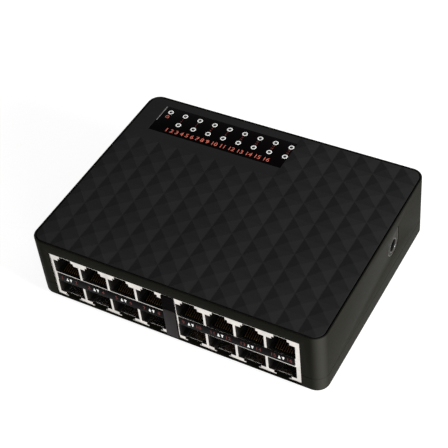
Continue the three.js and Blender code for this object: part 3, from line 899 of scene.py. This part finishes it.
def build_divider():
    """A blade painted near black for the shade between the blocks, with a paler round-shouldered pad on its
    lower part.
    """
    left, right = DIVIDER_LOW[0], DIVIDER_HIGH[0]
    bottom, back = DIVIDER_LOW[2], DIVIDER_HIGH[1]
    blade = block("divider_blade_painted_shade", (left, right), (back - 0.2, back), (bottom, DIVIDER_HIGH[2]))
    bevel(blade, 0.05)
    place(blade, DIVIDER_SHADOW, ["port_divider"])
    radius, inset = 1.2, 0.1
    shoulder = bottom + 16.7 - radius
    outline = [(left + inset, bottom), (right - inset, bottom)]
    for x, start in ((right - inset - radius, 0), (left + inset + radius, pi / 2)):
        outline += arc(x, shoulder, radius, [start + t * pi / 16 for t in range(9)])
    pad = prism("divider_pad", outline, "y", DIVIDER_LOW[1], back - 0.2)
    bevel(pad, 0.07)
    place(pad, DIVIDER_PLASTIC)


# ---------- power inlet ----------


BORE_RADIUS = 3.0
BORE_DEPTH = 9.5
LEAF_SLOT_WIDTH = 2.6


def build_power_inlet():
    y = (JACK_LOW[1] + JACK_HIGH[1]) / 2
    z = JACK_LOW[2] + (JACK_HIGH[1] - JACK_LOW[1]) / 2
    axis = (0, y, z)
    face, back = JACK_HIGH[0], JACK_LOW[0]
    bore_end = face - BORE_DEPTH
    housing = prism("inlet_housing", inlet_outline(JACK_HIGH[2], 0), "x", back, face)
    mouth = [(3.35, face + 1), (3.35, face), (BORE_RADIUS, face - 0.45), (BORE_RADIUS, bore_end)]
    cut(housing, lathe("mouth", mouth, axis, axis="x", steps=48))
    cut(housing, lathe("pin_hole", [(1.3, back - 1), (1.3, bore_end + 1)], axis, axis="x"))
    cut(housing, block("leaf_slot", (bore_end, face - 1), span(y, LEAF_SLOT_WIDTH), (z - 4.3, z - 2.4)))
    bevel(housing, 0.1, 2, angle=50)
    place(housing, INLET_PLASTIC, ["power_jack_housing"])
    # The lighter rim and collar carry a painted highlight along the inlet's edges.
    rim = [(3.05, face - 0.3), (3.05, face + 0.02), (3.15, face + 0.12)]
    rim += [(3.3, face + 0.12), (3.4, face - 0.1)]
    rim_piece = lathe("inlet_bore_rim", rim, axis, axis="x", steps=40, capped=False)
    place(rim_piece, INLET_RIM_HIGHLIGHT)
    # A near black liner inside the bore: partly its own black, partly painted shade.
    liner = [(2.98, bore_end + 0.1), (2.98, face - 0.5), (2.8, face - 0.6), (2.8, bore_end + 0.1)]
    liner_piece = lathe("inlet_bore_liner", liner, axis, axis="x", steps=40, capped=False)
    cut(liner_piece, block("leaf_gap", (bore_end, face), span(y, LEAF_SLOT_WIDTH), (z - 4.3, z - 2.0)))
    place(liner_piece, INLET_BORE_SHADE)
    collar = prism("inlet_collar", inlet_outline(JACK_HIGH[2], 0.06), "x", face - 0.5, face + 0.06)
    cut(collar, prism("collar_hole", inlet_outline(JACK_HIGH[2] + 1, -0.26), "x", face - 1, face + 1))
    bevel(collar, 0.08, 2, angle=50)
    place(collar, INLET_RIM_HIGHLIGHT)
    tip = node_box("power_jack_pin")[1][0]
    profile = [(0, back), (1.0, back), (1.0, tip - 0.6), (0.85, tip - 0.2), (0.5, tip), (0, tip)]
    pin = lathe("inlet_pin", profile, axis, axis="x")
    place(pin, NICKEL, ["power_jack_pin"])
    build_inlet_leaf(y)


def build_inlet_leaf(y):
    """The inlet's leaf spring, from its root at the back to its hooked free end."""
    low, high = node_box("power_jack_spring")
    run, rise = high[0] - low[0], high[2] - low[2] - 0.35
    steps = [(0, 0), (0.15, 0.08), (0.35, 0.35), (0.6, 0.72), (0.78, 0.95), (0.88, 1.0), (1.0, 0.86)]
    path = [(low[0] + run * a, low[2] + 0.17 + rise * b) for a, b in steps]
    leaf = ribbon("inlet_leaf", path, 1.9, 0.28)
    leaf.data.transform(Matrix(((0, 1, 0, 0), (1, 0, 0, y * MM), (0, 0, 1, 0), (0, 0, 0, 1))))
    leaf.data.flip_normals()
    bevel(leaf, 0.06, 1)
    place(leaf, SHADED_GOLD, ["power_jack_spring"], "power_spring")


# ---------- circuit board ----------


def gull_leads(low, high, count, both_ways):
    """Bent leads along two or four sides of a chip that hangs under the board."""
    x, y, level = centre_of(low, high)
    width, depth = high[0] - low[0], high[1] - low[1]
    foot = BOARD_LOW[2] - 0.12
    sides = [(False, pi), (False, 0)]
    if both_ways:
        sides += [(True, pi / 2), (True, -pi / 2)]
    leads = []
    for sideways, turn in sides:
        length, reach = (depth, width / 2) if sideways else (width, depth / 2)
        pitch = length * 0.88 / count
        path = [(reach - 0.1, level), (reach + 0.3, level), (reach + 0.55, foot), (reach + 1.0, foot)]
        for i in range(count):
            t = (i - (count - 1) / 2) * pitch
            lead = ribbon("lead", path, pitch * 0.45, 0.16)
            shift = Vector((x, y + t, 0) if sideways else (x + t, y, 0)) * MM
            lead.data.transform(Matrix.Translation(shift) @ Matrix.Rotation(turn, 4, "Z"))
            leads.append(lead)
    return leads


def build_chip(node, leads_per_side, both_ways, dot=True):
    low, high = node_box(node)
    width, depth = high[0] - low[0], high[1] - low[1]
    body = block(f"{node}_body", *zip(low, high))
    if dot:
        cut(body, rod("dot", min(width, depth) * 0.06, low[0] + width * 0.12, high[1] - depth * 0.12,
                      low[2] - 1, low[2] + 0.08))
    bevel(body, min(0.25, (high[2] - low[2]) * 0.15), 2)
    place(body, CHIP_EPOXY, [node])
    leads = gull_leads(low, high, leads_per_side, both_ways)
    place(joined(f"{node}_leads", leads), SOLDER)


def build_board():
    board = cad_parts["circuit_board"]
    board.data.materials.clear()
    board.data.materials.append(BOARD_MASK)
    build_chip("switch_controller_chip", 24, True)
    build_chip("memory_chip", 4, False)
    build_chip("voltage_regulator", 3, False, dot=False)
    for i in range(1, 5):
        build_chip(f"line_transformer_{i}", 12, False)
    build_crystal()
    build_capacitors()
    build_inductor()
    build_lamps()
    build_solder_joints()
    build_chip_parts()


def build_crystal():
    """A low metal can with round ends, on a flange."""
    low, high = node_box("clock_crystal")
    x, y, _ = centre_of(low, high)
    half_x, half_y = (high[0] - low[0]) / 2, (high[1] - low[1]) / 2
    profile = [(-0.6, low[2]), (-0.35, low[2] + 0.1), (-0.3, low[2] + 0.4), (-0.3, high[2] - 0.5)]
    profile += [(0, high[2] - 0.4), (0, high[2])]
    loops = []
    for grow, z in profile:
        ends = arc(x, y + half_y - half_x, half_x + grow, half_turn(0, 12))
        ends += arc(x, y - half_y + half_x, half_x + grow, half_turn(pi, 12))
        loops.append([(*point, z) for point in ends])
    place(loft("crystal_can", loops), NICKEL, ["clock_crystal"])


def build_capacitors():
    """Sleeved cans that hang under the board, with a scored cross in the bare end."""
    for i in (1, 2):
        low, high = node_box(f"filter_capacitor_{i}")
        x, y, _ = centre_of(low, high)
        radius = (high[0] - low[0]) / 2
        profile = [(radius - 0.9, low[2] + 0.1), (radius - 0.35, low[2]), (radius, low[2] + 0.4)]
        profile += [(radius, high[2] - 1.8), (radius - 0.3, high[2] - 1.3), (radius, high[2] - 0.8)]
        profile += [(radius, high[2]), (0, high[2])]
        sleeve = lathe(f"capacitor_sleeve_{i}", profile, (x, y, 0), steps=40)
        place(sleeve, SLEEVE, [f"filter_capacitor_{i}"])
        end = rod(f"capacitor_end_{i}", radius - 0.85, x, y, low[2] + 0.06, low[2] + 0.4)
        score = (low[2] - 1, low[2] + 0.16)
        cut(end, block("score", span(x, 4.6), span(y, 0.25), score))
        cut(end, block("score", span(x, 0.25), span(y, 4.6), score))
        place(end, ALUMINIUM)


def build_inductor():
    """A square ferrite core with a drum in its round well."""
    low, high = node_box("power_inductor")
    x, y, _ = centre_of(low, high)
    bottom, half = low[2], (high[0] - low[0]) / 2
    core = block("inductor_core", *zip(low, high))
    cut(core, lathe("well", [(half - 0.7, bottom - 1), (half - 0.7, bottom + 0.8)], (x, y, 0), steps=40))
    bevel(core, 0.4, 3)
    place(core, FERRITE, ["power_inductor"])
    drum = [(0, bottom + 0.15), (half - 1.5, bottom + 0.15), (half - 1.2, bottom + 0.45)]
    drum += [(half - 1.2, bottom + 0.85)]
    place(lathe("inductor_drum", drum, (x, y, 0), steps=40), FERRITE)


def build_lamps():
    """One small surface lamp under each post of the light guide."""
    top = BOARD_HIGH[2]
    bodies, domes = [], []
    for x, y in RINGS:
        bodies.append(block("lamp", span(x, 1.6), span(y, 0.8), (top, top + 0.35)))
        domes.append(block("lens", span(x, 0.95), span(y, 0.8), (top + 0.34, top + 0.68)))
    place(bevel(joined("lamp_bases", bodies), 0.05, 1), SOLDER)
    place(bevel(joined("lamp_lenses", domes), 0.1, 2), LAMP_RESIN)


def solder_dome(x, y, z, radius):
    profile = [(radius, z - 0.05), (radius, z + 0.02), (radius * 0.8, z + 0.22), (radius * 0.45, z + 0.42),
               (radius * 0.35, z + 0.6), (0, z + 0.62)]
    return lathe("dome", profile, (x, y, 0), steps=10)


# Solder joints, from front to back: the shields' tabs, and the pins of the lower and the upper row.
TAB_ROW, TAB_EDGE = -40.5, 1.2
PIN_ROWS = {"lower": -36.5, "upper": -31.0}
PIN_PITCH, PIN_STAGGER = 1.27, 1.3


def build_solder_joints():
    """The pins of both jack blocks and the power inlet come up through the board and are soldered on top."""
    top = BOARD_HIGH[2]
    joints = []
    for number, x in PORT_X.items():
        row = PIN_ROWS["upper" if row_side(number) > 0 else "lower"]
        for i in range(8):
            y = row + (PIN_STAGGER if i % 2 else -PIN_STAGGER)
            joints.append(solder_dome(x + (i - 3.5) * PIN_PITCH, y, top, 0.5))
    y = (JACK_LOW[1] + JACK_HIGH[1]) / 2
    for dx, dy in ((3.0, 0), (8.0, 0), (5.5, 4.2)):
        joints.append(solder_dome(JACK_LOW[0] + dx, y + dy, top, 1.2))
    for bank in BANKS.values():
        left = bank["low"][0]
        for x in (left + TAB_EDGE, left + BANK_WIDTH / 2, left + BANK_WIDTH - TAB_EDGE):
            joints.append(solder_dome(x, TAB_ROW, top, 1.1))
    place(joined("solder_joints", joints), SOLDER)


def chip_part(x, y, turned, length):
    """A small resistor or capacitor with a metal cap at each end, long in Y when it is turned."""
    def lie(along, across):
        return (across, along) if turned else (along, across)

    top = BOARD_HIGH[2]
    width = length * 0.5
    sizes = lie(length * 0.62, width)
    body = block("part", span(x, sizes[0]), span(y, sizes[1]), (top, top + 0.55))
    caps = []
    for sign in (-1, 1):
        dx, dy = lie(sign * length * 0.41, 0)
        sizes = lie(length * 0.2, width + 0.06)
        caps.append(block("end", span(x + dx, sizes[0]), span(y + dy, sizes[1]), (top, top + 0.58)))
    return body, caps


def build_chip_parts():
    """Small parts on the upper side of the board: rows of them, and a scatter in the middle."""
    rng = random.Random(16)
    small, medium, large = 1.6, 2.0, 2.4
    parts = []
    lamp_row = RING_LOWER_Y - 5.2
    for x, _ in RINGS[:9]:
        parts += [(x + 2.6, lamp_row, True, small), (x - 1.0, lamp_row, True, small)]
    for i in range(16):
        x = -56 + i * 7.4
        parts.append((x, -24.5 + rng.uniform(-0.3, 0.3), i % 3 == 0, small))
        if i % 2:
            parts.append((x + 2.4, -21.0, True, small))
    for _ in range(26):
        x, y = rng.uniform(-30, 32), rng.uniform(-12, 20)
        parts.append((round(x), round(y * 2) / 2, rng.random() < 0.5, medium))
    for i in range(6):
        parts.append((22 + i * 3.2, 38, True, large))
    bodies, ends = [], []
    for part in parts:
        body, caps = chip_part(*part)
        bodies.append(body)
        ends += caps
    place(bevel(joined("chip_part_bodies", bodies), 0.04, 1), CERAMIC)
    place(bevel(joined("chip_part_ends", ends), 0.04, 1), SOLDER)


# ---------- surroundings ----------

# The camera stands front right and above. Angles are in degrees, and its place is in millimetres from the
# middle of the case's underside.
AZIMUTH, ELEVATION, ROLL = radians(33.523), radians(44.775), radians(6.885)
LENS = 97.21
CAMERA_PLACE = (204.85, -314.79, 394.35)


def build_camera():
    data = bpy.data.cameras.new("camera")
    data.lens = LENS
    data.sensor_width = 36
    data.clip_start = 0.01
    data.clip_end = 20
    camera = link("camera", data)
    level = cos(ELEVATION)
    back = Vector((sin(AZIMUTH) * level, -cos(AZIMUTH) * level, sin(ELEVATION)))
    forward = -back
    across = forward.cross(Vector((0, 0, 1))).normalized()
    down = forward.cross(across)
    right = cos(ROLL) * across + sin(ROLL) * down
    up = -(forward.cross(right))
    rotation = Matrix((right, up, back)).transposed()
    x, y, z = CAMERA_PLACE
    place_at = Vector((x, y, z + BASE)) * MM
    camera.matrix_world = Matrix.Translation(place_at) @ rotation.to_4x4()
    bpy.context.scene.camera = camera


def soft_light(name, location, size, power):
    """A round area light, aimed at the middle of the case. Metres and watts."""
    data = bpy.data.lights.new(name, "AREA")
    data.shape = "DISK"
    data.size = size
    data.energy = power
    light = link(name, data)
    light.location = location
    direction = Vector((0, 0, 0.02)) - Vector(location)
    light.rotation_euler = direction.to_track_quat("-Z", "Y").to_euler()


def build_surroundings():
    far = 3000
    corners = [(-far, -far, 0), (far, -far, 0), (far, far, 0), (-far, far, 0)]
    floor = new_object("floor", corners, [(0, 1, 2, 3)])
    floor.data.materials.append(FLOOR_PAINT)
    world = bpy.data.worlds.new("studio")
    world.use_nodes = True
    background = world.node_tree.nodes["Background"]
    set_inputs(background, {"Color": (1, 1, 1, 1), "Strength": 0.35})
    bpy.context.scene.world = world
    soft_light("side", (1.0, -0.1, 0.27), 0.35, 26)
    soft_light("corner", (0.75, -0.8, 0.22), 0.35, 6)
    soft_light("back", (0.1, 1.05, 0.27), 0.35, 5.5)
    bpy.context.scene.view_settings.view_transform = "Standard"


build_camera()
build_base_tray()
build_wall_frame()
build_cover()
build_label()
build_light_guide()
build_feet()
build_screws()
for bank_side in BANKS:
    build_shield(bank_side)
    build_housing(bank_side)
    build_port_label(bank_side)
for port_number in range(1, 17):
    build_contacts(port_number)
build_divider()
build_power_inlet()
build_board()
build_surroundings()
